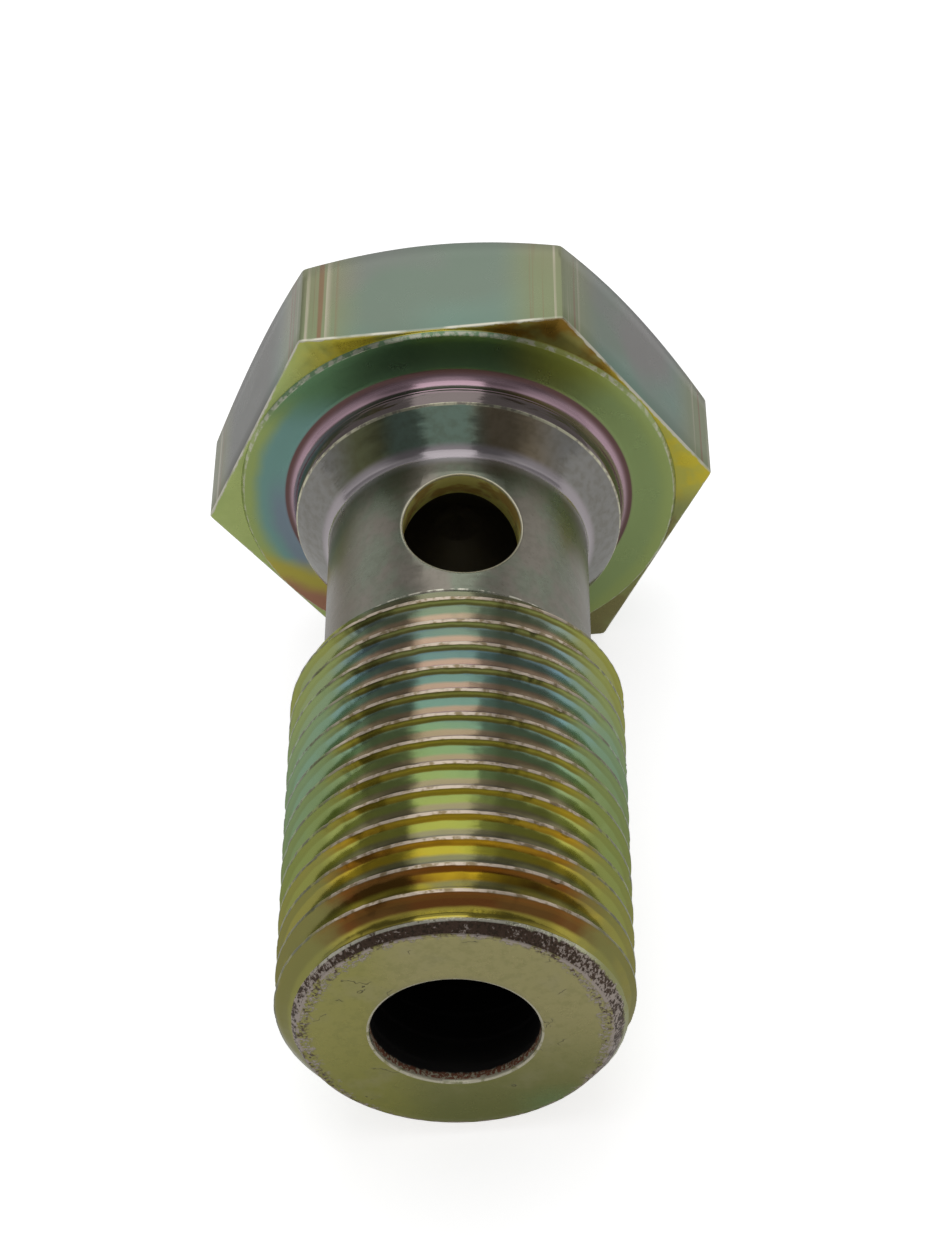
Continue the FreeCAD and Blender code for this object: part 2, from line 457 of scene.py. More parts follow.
def threadTree():
    # cuts the turns into the blank, then roughs up the crests and the end chamfer
    tree = bpy.data.node_groups.new("cutThread", "GeometryNodeTree")
    tree.interface.new_socket("Geometry", in_out="INPUT", socket_type="NodeSocketGeometry")
    for name in ("Pitch", "Crest Height", "Crest Half Width", "Thread Radius", "Root Radius", "Root Rounding",
                 "Thread Start", "Chamfer Start", "Nick Depth", "Crest Wander", "End Roughness", "Seed"):
        tree.interface.new_socket(name, in_out="INPUT", socket_type="NodeSocketFloat")
    tree.interface.new_socket("Material", in_out="INPUT", socket_type="NodeSocketMaterial")
    tree.interface.new_socket("Geometry", in_out="OUTPUT", socket_type="NodeSocketGeometry")
    build = TreeBuilder(tree)
    given = build.node("NodeGroupInput").outputs
    place = build.node("GeometryNodeInputPosition").outputs[0]
    parts = build.parted(place)
    flatRadius = build.fromAxis(parts)

    def seededNoise(scale, roughness=0.5):
        made = build.noise(place, scale, 3.0, roughness, noise_dimensions="4D")
        build.put(made.inputs["W"], given["Seed"])
        return made.outputs[0]

    # a turn is a flat crest, a straight flank and a rounded root, by the way along the bolt from the crest
    wander = (seededNoise(1.3), given["Crest Wander"])
    fromCrest = build.crestOffset(parts, given["Crest Height"], given["Pitch"], wander)
    along = build.times(build.absolute(fromCrest), given["Pitch"])
    beyond = build.larger(build.minus(along, given["Crest Half Width"]), 0.0)
    flank = build.less(given["Thread Radius"], beyond, sqrt(3))
    rounding = given["Root Rounding"]
    fromRoot = build.minus(build.times(given["Pitch"], 0.5), along)
    fromRoot = build.math("MINIMUM", fromRoot, build.times(rounding, sqrt(3) / 2))
    squared = build.minus(build.times(rounding, rounding), build.times(fromRoot, fromRoot))
    root = build.minus(build.plus(given["Root Radius"], rounding), build.math("SQRT", squared))
    cut = build.math("MINIMUM", flatRadius, build.larger(flank, root))

    # small dents on the crests
    nicks = build.spread(seededNoise(2.1, 0.6), 0.50, 0.72)
    outer = given["Thread Radius"]
    onCrest = build.spread(cut, build.minus(outer, 0.12), build.minus(outer, 0.02))
    cut = build.less(cut, build.times(nicks, onCrest), given["Nick Depth"])

    # the end chamfer is torn where the tool ran over the turns
    chamferStart = given["Chamfer Start"]
    onChamfer = build.spread(parts[2], build.plus(chamferStart, 0.1), build.plus(chamferStart, 0.35))
    offFace = build.spread(flatRadius, 6.8, 6.95)
    tornDepth = build.times(seededNoise(2.3, 0.65), given["End Roughness"])
    cut = build.less(cut, build.times(onChamfer, offFace), tornDepth)

    inThread = build.math("GREATER_THAN", parts[2], build.plus(given["Thread Start"], 0.001))
    ratio = build.over(cut, build.larger(flatRadius, 0.001))
    ratio = build.plus(build.times(inThread, build.minus(ratio, 1.0)), 1.0)
    moved = build.joined(build.times(parts[0], ratio), build.times(parts[1], ratio), parts[2])
    setPlace = build.node("GeometryNodeSetPosition", {"Geometry": given["Geometry"], "Position": moved})
    realized = build.node("GeometryNodeRealizeInstances", {0: setPlace.outputs[0]})
    painted = build.node("GeometryNodeSetMaterial", {
        "Geometry": realized.outputs[0], "Material": given["Material"]})
    build.node("NodeGroupOutput", {0: painted.outputs[0]})
    return tree


def setInputs(modifier, values):
    # an input named "Root Radius" takes the value named "rootRadius"
    for item in modifier.node_group.interface.items_tree:
        key = item.name[0].lower() + item.name[1:].replace(" ", "")
        if item.in_out == "INPUT" and key in values:
            modifier[item.identifier] = values[key]


def boltPiece(material):
    holder = bpy.data.objects.new("boltBlank", blankMesh())
    scene.collection.objects.link(holder)
    cutter = bpy.data.objects.new("crossHoleCutter", crossHoleMesh())
    scene.collection.objects.link(cutter)
    threading = holder.modifiers.new("cutThread", "NODES")
    threading.node_group = threadTree()
    setInputs(threading, {
        **boltSizes, **threadSizes, "crestHeight": crestAtZero(), "threadStart": boltSizes["neckEnd"],
        "chamferStart": boltSizes["endChamferStart"], "material": material})
    drilling = holder.modifiers.new("drillCrossHole", "BOOLEAN")
    drilling.operation = "DIFFERENCE"
    drilling.solver = "MANIFOLD"
    drilling.object = cutter
    finished = holder.evaluated_get(bpy.context.evaluated_depsgraph_get())
    mesh = bpy.data.meshes.new_from_object(finished)
    mesh.name = "banjoBolt"
    mesh.transform(layDown)
    bpy.data.objects.remove(holder)
    bpy.data.objects.remove(cutter)
    mesh.materials.clear()
    mesh.materials.append(material)
    mesh.polygons.foreach_set("material_index", [0] * len(mesh.polygons))
    mesh.polygons.foreach_set("use_smooth", [True] * len(mesh.polygons))
    mesh.set_sharp_from_angle(angle=radians(boltSizes["sharpAngle"]))
    piece = bpy.data.objects.new("bolt_body", mesh)
    scene.collection.objects.link(piece)
    print("bolt: triangles", sum(len(face.vertices) - 2 for face in mesh.polygons))
    return piece


def shaderGroup(name, inputs, outputs):
    group = bpy.data.node_groups.new(name, "ShaderNodeTree")
    for label, kind, value in inputs:
        socket = group.interface.new_socket(label, in_out="INPUT", socket_type="NodeSocket" + kind)
        if value is not None:
            socket.default_value = value
    for label, kind in outputs:
        group.interface.new_socket(label, in_out="OUTPUT", socket_type="NodeSocket" + kind)
    build = TreeBuilder(group)
    return group, build, build.node("NodeGroupInput").outputs


def alongBoltGroup():
    # height, radius and direction round the bolt, from a place in millimetres
    inputs = [("Place", "Vector", None)]
    outputs = [("Height", "Float"), ("Radius", "Float"), ("Around", "Vector")]
    group, build, given = shaderGroup("alongBolt", inputs, outputs)
    parts = build.parted(given["Place"])
    radius = build.fromAxis(parts)
    safe = build.larger(radius, 0.01)
    around = build.joined(build.over(parts[0], safe), build.over(parts[1], safe), parts[2])
    build.node("NodeGroupOutput", {"Height": parts[2], "Radius": radius, "Around": around})
    return group


def bandGroup():
    # 1 between two values, with soft ends
    starts = {"Value": 0.0, "Low": 0.0, "High": 1.0, "Softness": 0.05}
    inputs = [(name, "Float", start) for name, start in starts.items()]
    group, build, given = shaderGroup("band", inputs, [("Mask", "Float")])
    value, low, high, softness = given[0], given[1], given[2], given[3]
    rise = build.spread(value, build.minus(low, softness), build.plus(low, softness))
    fall = build.spread(value, build.minus(high, softness), build.plus(high, softness), 1.0, 0.0)
    build.node("NodeGroupOutput", {"Mask": build.times(rise, fall)})
    return group


def turnPlaceGroup():
    # the place across a turn of the thread, and the narrow line of its crest
    inputs = [("Place", "Vector", None), ("Pitch", "Float", 1.0), ("Crest Height", "Float", 0.0)]
    group, build, given = shaderGroup("turnPlace", inputs, [("From Crest", "Float"), ("Crest Line", "Float")])
    fromCrest = build.crestOffset(build.parted(given["Place"]), given["Crest Height"], given["Pitch"])
    line = build.spread(build.absolute(fromCrest), 0.045, 0.075, 1.0, 0.0)
    build.node("NodeGroupOutput", {"From Crest": fromCrest, "Crest Line": line})
    return group


def ringLeanGroup():
    # each ring of a turned surface leans a little to one side, so that the edges of reflections come in steps
    inputs = [("Around", "Vector", None), ("Sideways", "Vector", None), ("Amount", "Float", 0.03)]
    group, build, given = shaderGroup("ringLean", inputs, [("Normal", "Vector")])
    parts = build.parted(given["Around"])
    stretched = build.joined(build.times(parts[0], 2.2), build.times(parts[1], 2.2), build.times(parts[2], 3.2))
    rings = build.noise(stretched, 1.0, 3.0, 0.7)
    lean = build.times(build.minus(rings.outputs[0], 0.5), given["Amount"])
    shifted = build.vector("SCALE", {0: given["Sideways"], "Scale": lean})[0]
    normal = build.node("ShaderNodeNewGeometry").outputs["Normal"]
    leaning = build.vector("ADD", {0: normal, 1: shifted})[0]
    build.node("NodeGroupOutput", {"Normal": build.vector("NORMALIZE", {0: leaning})[0]})
    return group


def turnedMarksGroup():
    # fine rings that a turning tool leaves, broken up round the bolt
    inputs = [("Around", "Vector", None), ("Radius", "Float", 0.0)]
    inputs += [("Fineness", "Float", 8.0), ("Breaking", "Float", 1.5)]
    group, build, given = shaderGroup("turnedMarks", inputs, [("Mark", "Float")])
    parts = build.parted(given["Around"])
    breaking = given["Breaking"]
    profile = build.times(build.minus(parts[2], given["Radius"]), given["Fineness"])
    across = build.joined(build.times(parts[0], breaking), build.times(parts[1], breaking), profile)
    marks = build.noise(across, 1.0, 1.0, 0.5)
    build.node("NodeGroupOutput", {"Mark": marks.outputs[0]})
    return group


zincLook = {
    # head
    "flat": (0.17, 0.215, 0.17), "flatPink": (0.205, 0.20, 0.19), "flatTeal": (0.166, 0.249, 0.201),
    "flatYellow": (0.229, 0.245, 0.122), "flatLeft": (0.10, 0.092, 0.084), "headFace": (0.42, 0.43, 0.27),
    "headFaceTeal": (0.36, 0.43, 0.29), "streakDark": (0.22, 0.15, 0.09), "streakLight": (0.40, 0.37, 0.28),
    "wornEdge": (0.62, 0.60, 0.50), "cornerPlane": (0.60, 0.50, 0.055), "cornerLeft": (0.42, 0.50, 0.18),
    "cornerBrown": (0.24, 0.14, 0.025), "cornerDull": (0.24, 0.22, 0.09),
    # washer face, collar and cone
    "washerRight": (0.29, 0.38, 0.155), "washerLeft": (0.19, 0.345, 0.31), "washerViolet": (0.21, 0.27, 0.32),
    "washerOuter": (0.33, 0.41, 0.145), "washerTop": (0.13, 0.25, 0.13), "washerOlive": (0.30, 0.33, 0.07),
    "washerGold": (0.46, 0.40, 0.08), "washerRust": (0.38, 0.19, 0.12), "fillet": (0.50, 0.34, 0.40),
    "filletFoot": (0.15, 0.085, 0.08), "collar": (0.21, 0.175, 0.17), "collarEdge": (0.62, 0.60, 0.44),
    "cone": (0.22, 0.31, 0.25), "coneBrown": (0.30, 0.245, 0.17), "coneOlive": (0.15, 0.16, 0.085),
    "coneFar": (0.27, 0.265, 0.25),
    # neck
    "neckFillet": (0.42, 0.38, 0.40), "neck": (0.20, 0.222, 0.17), "neckPink": (0.235, 0.214, 0.18),
    "neckSide": (0.17, 0.145, 0.105), "neckDark": (0.12, 0.115, 0.085),
    # thread and torn chamfer
    "crest": (0.56, 0.47, 0.38), "crestDull": (0.26, 0.20, 0.12), "crestDark": (0.12, 0.12, 0.06),
    "shoulderDark": (0.09, 0.07, 0.02), "backFlank": (0.64, 0.64, 0.46), "torn": (0.10, 0.067, 0.05),
    "tornLight": (0.42, 0.36, 0.32),
    # end face
    "end": (0.385, 0.35, 0.16), "endLow": (0.19, 0.20, 0.065), "endLeft": (0.31, 0.30, 0.065),
    "endGrey": (0.36, 0.33, 0.20), "endGreen": (0.17, 0.27, 0.12),
    # holes and dirt
    "holeWall": (0.88, 0.84, 0.34), "holeBrown": (0.60, 0.44, 0.15), "rim": (0.66, 0.62, 0.47),
    "lip": (0.34, 0.15, 0.09), "bore": (0.035, 0.034, 0.033), "boreDeep": (0.13, 0.115, 0.08),
    "grime": (0.04, 0.035, 0.025),
}

# passivation on the thread by height above the washer face, and the heights that the ramps run between; the
# side ramp is the far sides' film with painted shading
filmSpan = (12.0, 34.0)
threadTints = {
    "shoulder": [(14.0, (0.36, 0.40, 0.12)), (17.5, (0.34, 0.38, 0.13)), (20.3, (0.32, 0.32, 0.06)),
        (23.0, (0.36, 0.31, 0.03)), (26.0, (0.40, 0.30, 0.02)), (28.7, (0.58, 0.32, 0.015)),
        (30.2, (0.25, 0.08, 0.006)), (31.6, (0.24, 0.09, 0.02))],
    "flank": [(14.2, (0.352, 0.462, 0.415)), (17.5, (0.242, 0.407, 0.5)), (20.3, (0.275, 0.473, 0.5)),
        (23.0, (0.363, 0.55, 0.329)), (26.0, (0.506, 0.594, 0.195)), (28.7, (0.682, 0.638, 0.11)),
        (30.2, (0.792, 0.539, 0.0427)), (31.5, (0.17, 0.065, 0.018))],
    "root": [(13.2, (0.396, 0.396, 0.342)), (14.2, (0.792, 0.594, 0.561)), (17.5, (0.77, 0.539, 0.537)),
        (20.3, (0.66, 0.484, 0.451)), (23.0, (0.583, 0.473, 0.378)), (26.0, (0.517, 0.462, 0.354)),
        (28.7, (0.407, 0.396, 0.268)), (30.6, (0.33, 0.319, 0.22)), (31.6, (0.506, 0.418, 0.0732))],
    "side": [(14.0, (0.38, 0.38, 0.09)), (17.5, (0.32, 0.40, 0.16)), (20.3, (0.25, 0.38, 0.22)),
        (23.0, (0.235, 0.32, 0.135)), (26.0, (0.24, 0.30, 0.09)), (28.7, (0.27, 0.285, 0.08)),
        (31.0, (0.25, 0.255, 0.085))],
}


def opaque(colour):
    # a tint may be given by its name in zincLook
    if isinstance(colour, str):
        colour = zincLook[colour]
    return (*colour, 1.0) if isinstance(colour, tuple) else colour


class ZincBuilder(TreeBuilder):
    # the zinc's own nodes, with the places, noises and masks that its colours and its relief share

    def __init__(self, tree):
        super().__init__(tree)
        upright = layDown.to_3x3().normalized().inverted()
        coordinates = self.node("ShaderNodeTexCoord").outputs["Object"]
        self.place = self.mapped(coordinates, {
            "Location": upright @ (layDown.translation * -1000),
            "Rotation": upright.to_euler("XYZ"), "Scale": (1000.0, 1000.0, 1000.0)})
        parts = self.parted(self.place)
        self.x, self.y = parts[0], parts[1]
        along = self.placed(alongBoltGroup(), {"Place": self.place})
        self.height, self.radius, self.around = along["Height"], along["Radius"], along["Around"]
        turn = self.placed(turnPlaceGroup(), {
            "Place": self.place, "Pitch": threadSizes["pitch"], "Crest Height": crestAtZero()})
        self.fromCrest, self.crestLine = turn["From Crest"], turn["Crest Line"]
        self.bandTree = bandGroup()
        elsewhere = self.mapped(self.place, {"Location": (31.0, 7.0, 3.0)})
        self.broad = self.cloud(0.11, 1.0)
        self.broadOther = self.cloud(0.13, 1.0, elsewhere)
        self.patches = self.cloud(0.5, 3.0)
        self.fine = self.cloud(2.4, 4.0, roughness=0.6)
        self.grain = self.cloud(7.0, 3.0, roughness=0.65)
        sideways = self.absolute(self.plus(self.x, -0.8))
        self.aside = self.over(sideways, self.radius)
        self.markHead()
        self.markEnd()
        self.markHoles()

    def cloud(self, scale, detail=3.0, vector=None, roughness=0.55):
        return self.noise(vector or self.place, scale, detail, roughness).outputs[0]

    def band(self, value, low, high, softness):
        inputs = {"Value": value, "Low": low, "High": high, "Softness": softness}
        return self.placed(self.bandTree, inputs)[0]

    def layered(self, colour, *tints):
        # each tint covers its share of the colours under it
        for share, tint in tints:
            inputs = {0: share, 6: opaque(colour), 7: opaque(tint)}
            colour = self.node("ShaderNodeMix", inputs, data_type="RGBA").outputs[2]
        return colour

    def markHead(self):
        # how far a point is from the nearest corner and from the hexagon's outline
        sixths = self.over(self.math("ARCTAN2", self.y, self.x), pi / 3)
        middle = self.absolute(self.minus(self.math("FRACT", sixths), 0.5))
        self.fromCorner = self.times(self.minus(0.5, middle), 12.8)
        reaches = []
        for turn in (30, 90, 150):
            normal = (cos(radians(turn)), sin(radians(turn)), 0.0)
            dot = self.vector("DOT_PRODUCT", {0: self.place, 1: normal})
            reaches.append(self.absolute(dot["Value"]))
        reach = self.larger(self.larger(reaches[0], reaches[1]), reaches[2])
        self.fromOutline = self.minus(boltSizes["acrossFlats"] / 2, reach)
        offFlat = self.times(self.spread(self.fromOutline, 0.10, 0.24), self.spread(self.height, -3.0, -4.0))
        self.onFlat = self.minus(1.0, offFlat)
        drawnPlace = self.mapped(self.place, {"Scale": (1.9, 1.9, 0.02)})
        self.drawn = self.cloud(1.0, 4.0, drawnPlace, 0.6)
        self.nearCorner = self.times(self.band(self.fromCorner, 0.45, 1.5, 0.25), self.onFlat)

    def markEnd(self):
        # the torn chamfer, and pits and cracks in the end face
        end = boltSizes["endHeight"]
        fall = endChamferFall()
        tip = boltSizes["threadRadius"] + boltSizes["endChamferStart"] * fall
        self.onEnd = self.spread(self.height, end - 0.07, end - 0.03)
        self.chamferRadius = self.minus(tip, self.times(self.height, fall))
        tornEdge = self.swayed(self.minus(self.radius, self.chamferRadius), self.fine, 0.10)
        nearEnd = self.spread(self.more(self.height, self.fine, 0.5), end - 0.38, end - 0.26)
        self.onChamfer = self.times(self.spread(tornEdge, -0.17, -0.12), nearEnd)
        raggedRim = self.swayed(self.radius, self.fine, 1.1)
        raggedRim = self.plus(raggedRim, self.spread(self.aside, 0.25, 0.95, -0.1, 0.30))
        raggedRim = self.minus(raggedRim, self.spread(self.y, -1.0, -5.0, 0.0, 0.30))
        pits = self.times(self.spread(raggedRim, 6.45, 6.75), self.spread(self.grain, 0.42, 0.60))
        self.pitted = self.times(self.onEnd, pits)
        crackLine = self.absolute(self.minus(self.cloud(0.42, 4.0), 0.5))
        cracks = self.times(self.spread(crackLine, 0.007, 0.002), self.spread(self.patches, 0.56, 0.62))
        self.cracks = self.times(cracks, self.onEnd)

    def markHoles(self):
        # walls and rims of the cross hole and the bore
        neck, bore, end = boltSizes["neckRadius"], boltSizes["boreRadius"], boltSizes["endHeight"]
        height, radius = self.height, self.radius
        alongHole = self.times(self.spread(height, 3.0, 3.4), self.spread(height, 13.0, 12.8))
        inWall = self.times(self.spread(radius, bore + 0.02, bore + 0.06), alongHole)
        self.inHole = self.times(self.spread(radius, neck - 0.08, neck - 0.14), inWall)
        alongRim = self.times(self.spread(height, 4.2, 4.3), self.spread(height, 12.5, 12.4))
        self.onRim = self.times(self.band(radius, neck - 0.18, neck - 0.015, 0.01), alongRim)
        atMouth = self.spread(height, end - 0.2, end - 0.14)
        self.onMouth = self.times(self.spread(radius, bore + 0.16, bore + 0.13), atMouth)
        underMouth = self.spread(height, end - 0.13, end - 0.17)
        inBore = self.times(self.spread(radius, bore + 0.025, bore + 0.005), underMouth)
        self.inBore = self.times(inBore, self.spread(height, 0.3, 0.6))


def headTints(zinc):
    # greyish flats with drawn streaks near the corners, a plain far face and a worn edge
    spread, times, band, layered = zinc.spread, zinc.times, zinc.band, zinc.layered
    flats = layered("flat",
        (spread(zinc.broad, 0.40, 0.60), "flatTeal"),
        (spread(zinc.broadOther, 0.48, 0.66), "flatPink"),
        (spread(zinc.x, -7.0, -9.0, 0.0, 0.9), "flatLeft"),
        (spread(zinc.fromCorner, 0.8, 3.2, 0.75, 0.0), "flatYellow"),
        (times(zinc.nearCorner, spread(zinc.drawn, 0.54, 0.62)), "streakDark"),
        (times(band(zinc.fromCorner, 0.1, 1.2, 0.2), spread(zinc.drawn, 0.44, 0.36)), "streakLight"))
    farFace = layered("headFace",
        (spread(zinc.broadOther, 0.42, 0.60), "headFaceTeal"),
        (spread(zinc.patches, 0.45, 0.70, 0.0, 0.15), "flatYellow"))
    aboveBrown = times(band(zinc.x, 2.0, 9.0, 1.5), spread(zinc.y, 5.0, 8.0))
    lowRight = times(spread(zinc.x, 2.0, 5.0), spread(zinc.y, -0.5, -2.5))
    corners = layered("cornerPlane",
        (spread(zinc.x, -4.0, -8.0), "cornerLeft"),
        (aboveBrown, "cornerBrown"), (lowRight, "cornerDull"),
        (spread(zinc.patches, 0.45, 0.62, 0.0, 0.4), "washerOuter"))
    ragged = zinc.swayed(zinc.fromOutline, zinc.fine, 0.22)
    worn = times(band(zinc.height, -0.40, -0.15, 0.05), spread(ragged, 0.10, 0.03))
    return layered(farFace,
        (zinc.onFlat, flats),
        (spread(zinc.height, -0.30, -0.27), corners),
        (times(worn, spread(zinc.patches, 0.38, 0.55, 0.25, 1.0)), "wornEdge"))


def washerTints(zinc, colour):
    # teal to the left, yellow-green to the right, darker at the top and rainbow-edged low on the left, with a
    # bright rim that is partly wear and partly painted highlight
    spread, times, layered, more = zinc.spread, zinc.times, zinc.layered, zinc.more
    x, y, radius, patches = zinc.x, zinc.y, zinc.radius, zinc.patches
    swayed = zinc.swayed(x, zinc.broadOther, 8.0)
    top = layered("washerTop", (spread(swayed, 1.5, 4.5), "washerOlive"))
    inside = times(spread(y, 3.5, 0.0), spread(more(radius, patches, 0.6), 10.3, 9.5))
    lowSide = more(more(y, x, 0.55), patches, 1.0)
    washer = layered("washerRight",
        (spread(swayed, 0.0, -6.0), "washerLeft"),
        (spread(more(radius, patches, 0.5), 10.1, 10.9), "washerOuter"),
        (spread(more(y, patches, 1.0), 6.0, 8.8), top),
        (times(spread(swayed, -4.5, -7.0), inside), "washerViolet"),
        (spread(lowSide, -7.4, -8.8), "washerGold"),
        (spread(lowSide, -9.0, -10.4), "washerRust"))
    # the rim of the washer face: partly wear, partly painted highlight on its rounding
    rim = times(zinc.band(radius, 10.84, 10.99, 0.03), spread(zinc.height, -0.5, -0.4))
    return layered(colour,
        (spread(zinc.height, -0.24, -0.20), washer),
        (times(rim, spread(zinc.fine, 0.42, 0.58, 0.1, 0.7)), "wornEdge"))


def neckTints(zinc):
    # the neck's sides are darkened with painted shade
    return zinc.layered("neck",
        (zinc.spread(zinc.patches, 0.40, 0.64), "neckPink"),
        (zinc.spread(zinc.aside, 0.68, 0.95), "neckSide"),
        (zinc.spread(zinc.fine, 0.42, 0.64, 0.0, 0.22), "neckDark"),
        (zinc.spread(zinc.grain, 0.60, 0.72, 0.0, 0.3), "torn"))


def collarTints(zinc, colour, neck):
    # dark foot, pink fillet, dark collar with a bright edge, cone and neck
    spread, layered = zinc.spread, zinc.layered
    height, x = zinc.height, zinc.x
    fillet = layered("filletFoot", (spread(height, 0.06, 0.26), "fillet"))
    cone = layered("cone",
        (spread(x, 1.2, 2.6), "coneBrown"),
        (spread(x, -2.0, -3.2), "coneOlive"),
        (spread(zinc.absolute(x), 4.0, 6.0), "coneFar"),
        (spread(zinc.fine, 0.38, 0.66, 0.0, 0.22), "shoulderDark"))
    edge = zinc.times(zinc.band(height, 1.72, 1.86, 0.02), spread(zinc.fine, 0.40, 0.55, 0.3, 1.0))
    return layered(colour,
        (zinc.times(zinc.band(height, 0.02, 1.2, 0.015), spread(zinc.radius, 9.0, 8.9)), fillet),
        (spread(height, 0.60, 1.10), "collar"),
        (spread(height, 1.80, 1.86), cone),
        (edge, "collarEdge"),
        (spread(height, 3.05, 3.35), "neckFillet"),
        (spread(height, 3.75, 4.3), neck))


def tintRamp(zinc, filmHeight, stops):
    low, high = filmSpan
    made = zinc.node("ShaderNodeValToRGB", {0: zinc.spread(filmHeight, low, high, smooth=False)})
    ramp = made.color_ramp
    while len(ramp.elements) < len(stops):
        ramp.elements.new(0.5)
    for element, (height, colour) in zip(ramp.elements, stops):
        element.position = (height - low) / (high - low)
        element.color = opaque(colour)
    return made.outputs[0]


def turnTints(zinc, colour, neck):
    # the film thins towards the end and down in the roots; the shoulders and the flanks beside the lamp's
    # bright band are darkened with painted shade, and the far sides get painted shading with darker crests
    spread, times, band, layered, swayed = zinc.spread, zinc.times, zinc.band, zinc.layered, zinc.swayed
    fine, patches = zinc.fine, zinc.patches
    depth = swayed(zinc.absolute(zinc.fromCrest), patches, 0.05)
    filmHeight = swayed(swayed(zinc.height, zinc.broad, 9.0), patches, 2.0)
    tints = {name: tintRamp(zinc, filmHeight, stops) for name, stops in threadTints.items()}
    stripe = band(swayed(depth, fine, 0.03), 0.085, 0.12, 0.02)
    # painted shade on the shoulders of the turns, less of it along the stripe
    shade = times(spread(filmHeight, 20.0, 27.0, 0.75, 0.3), zinc.minus(1.0, times(stripe, 0.85)))
    # painted shade on the flanks beside the lamp's bright band
    offBandShade = times(band(zinc.aside, 0.24, 0.56, 0.05), spread(depth, 0.15, 0.19, 0.25, 0.45))
    # painted shading on the far sides: their own tints and darker crests
    farSideShading = spread(swayed(zinc.aside, patches, 0.3), 0.55, 0.82)
    crest = layered("crestDull", (spread(fine, 0.38, 0.54), "crest"), (farSideShading, "crestDark"))
    crestShare = zinc.minus(1.0, times(farSideShading, spread(fine, 0.52, 0.42, 0.1, 1.0)))
    thread = layered(tints["shoulder"],
        (shade, "shoulderDark"),
        (spread(depth, 0.155, 0.185), tints["flank"]),
        (spread(depth, 0.27, 0.34), tints["root"]),
        (offBandShade, "shoulderDark"),
        (spread(zinc.fromCrest, -0.05, -0.08), "backFlank"),
        (times(farSideShading, 0.85), tints["side"]),
        (times(zinc.crestLine, crestShare), crest))
    leadIn = spread(zinc.more(zinc.height, fine, 0.3), 13.45, 13.60)
    neckEnd = boltSizes["neckEnd"]
    wornStart = times(band(zinc.height, neckEnd - 0.08, neckEnd + 0.04, 0.02), spread(fine, 0.42, 0.56))
    return layered(colour,
        (spread(zinc.height, neckEnd - 0.02, neckEnd + 0.05), layered(neck, (leadIn, thread))),
        (wornStart, "wornEdge"))


def endTints(zinc, colour):
    # torn end chamfer with a bright burr where it meets the groove, and the end face, darker towards its bottom
    # with painted shade
    spread, times, layered = zinc.spread, zinc.times, zinc.layered
    fine, grain, aside = zinc.fine, zinc.grain, zinc.aside
    along = times(zinc.absolute(zinc.fromCrest), threadSizes["pitch"])
    beyond = zinc.larger(zinc.minus(along, threadSizes["crestHalfWidth"]), 0.0)
    groove = zinc.less(boltSizes["threadRadius"], beyond, sqrt(3))
    overGroove = zinc.minus(zinc.larger(groove, 7.1), zinc.chamferRadius)
    burr = times(spread(overGroove, 0.30, 0.20), spread(fine, 0.34, 0.46))
    flecks = zinc.more(times(fine, 0.4), grain, 0.6)
    flecks = zinc.plus(flecks, spread(aside, 0.3, 0.95, -0.03, 0.06))
    chamfer = layered("torn",
        (spread(flecks, 0.53, 0.60), "tornLight"),
        (spread(grain, 0.50, 0.40, 0.0, 0.6), "grime"),
        (times(burr, spread(aside, 0.95, 0.75)), "wornEdge"))
    faceUp = zinc.swayed(zinc.y, zinc.patches, 1.6)
    lowRight = times(zinc.band(zinc.x, 2.5, 6.0, 1.2), spread(faceUp, -4.0, -5.8))
    face = layered("end",
        # darker towards the bottom of the end face: painted shade; the fine specks added below are the face's
        # own mottle
        (spread(faceUp, 1.5, -6.5), "endLow"),
        (times(zinc.band(zinc.x, -9.0, -2.5, 1.5), 0.6), "endLeft"),
        (spread(zinc.patches, 0.50, 0.75, 0.0, 0.35), "endGrey"),
        (times(lowRight, 0.55), "endGreen"),
        (spread(fine, 0.46, 0.66, 0.0, 0.22), "endLow"),
        (zinc.pitted, layered("torn", (spread(fine, 0.46, 0.54), "tornLight"))),
        (times(spread(zinc.radius, 6.72, 6.80), spread(fine, 0.42, 0.54)), "tornLight"),
        (times(zinc.cracks, 0.7), "grime"))
    return layered(colour, (zinc.onChamfer, chamfer), (zinc.onEnd, face))


def holeTints(zinc, colour):
    wall = zinc.layered("holeWall", (zinc.spread(zinc.patches, 0.44, 0.60), "holeBrown"))
    lip = zinc.layered("lip", (zinc.spread(zinc.grain, 0.50, 0.58), "rim"))
    # the bore goes near black inside the mouth: painted shade, together with dull unplated steel
    bore = zinc.layered("bore",
        (zinc.spread(zinc.height, 15.0, 12.5), "boreDeep"),
        (zinc.spread(zinc.more(zinc.height, zinc.fine, 0.3), 32.72, 32.86), lip))
    return zinc.layered(colour,
        (zinc.inHole, wall),
        (zinc.onRim, "rim"),
        (zinc.times(zinc.onMouth, zinc.spread(zinc.fine, 0.35, 0.5, 0.2, 1.0)), "rim"),
        (zinc.inBore, bore))


def zincRoughness(zinc, smoothTurned):
    inThread = zinc.times(zinc.spread(zinc.height, 12.9, 13.2), zinc.spread(zinc.height, 32.9, 32.6))
    roughness = zinc.less(0.28, smoothTurned, 0.13)
    roughness = zinc.more(roughness, zinc.band(zinc.height, 0.03, 0.32, 0.04), 0.10)
    roughness = zinc.less(roughness, inThread, 0.12)
    roughness = zinc.more(roughness, zinc.times(inThread, zinc.crestLine), 0.15)
    roughness = zinc.more(roughness, zinc.onChamfer, 0.2)
    roughness = zinc.swayed(roughness, zinc.patches, 0.08)
    return zinc.more(roughness, zinc.larger(zinc.inHole, zinc.inBore), 0.4)


